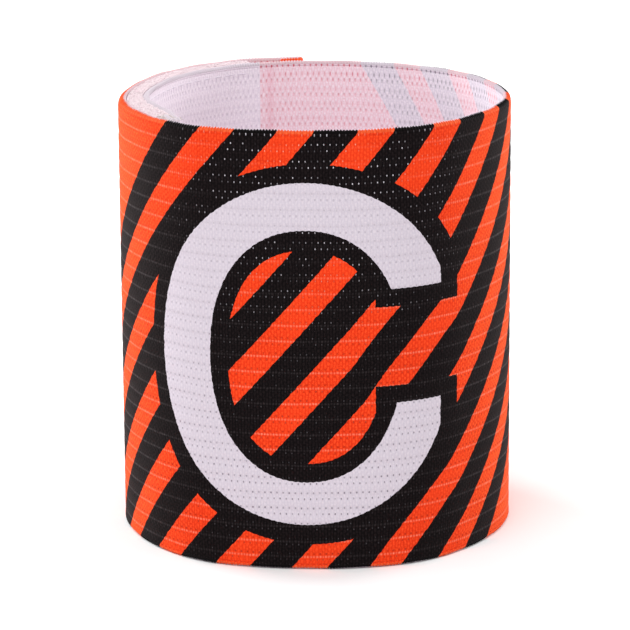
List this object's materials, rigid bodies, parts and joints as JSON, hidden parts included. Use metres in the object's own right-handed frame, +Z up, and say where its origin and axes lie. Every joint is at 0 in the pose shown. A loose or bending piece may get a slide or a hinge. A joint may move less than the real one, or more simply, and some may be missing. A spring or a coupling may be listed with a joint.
{
  "type": "captain armband",
  "caption": "Elastic captain armband with a white letter on diagonal stripes, its overlapping ends closed by hook and loop tape.",
  "frame": {"origin": "middle of the base of the bounding box, on the surface the bottom rim stands on", "axes": "+Z up along the loop's axis, +X to the right of the letter as it is read, the letter faces -Y"},
  "size_m": [0.0676, 0.0722, 0.075],
  "materials": {
    "band": "ribbed knitted elastic, printed on its outer face",
    "hook_tape": "woven tape with stiff hooks",
    "loop_tape": "brushed loop pile"
  },
  "bodies": {
    "root": {"band": "band", "hook_tape": "hook_tape", "loop_tape": "loop_tape"}
  },
  "joints": []
}
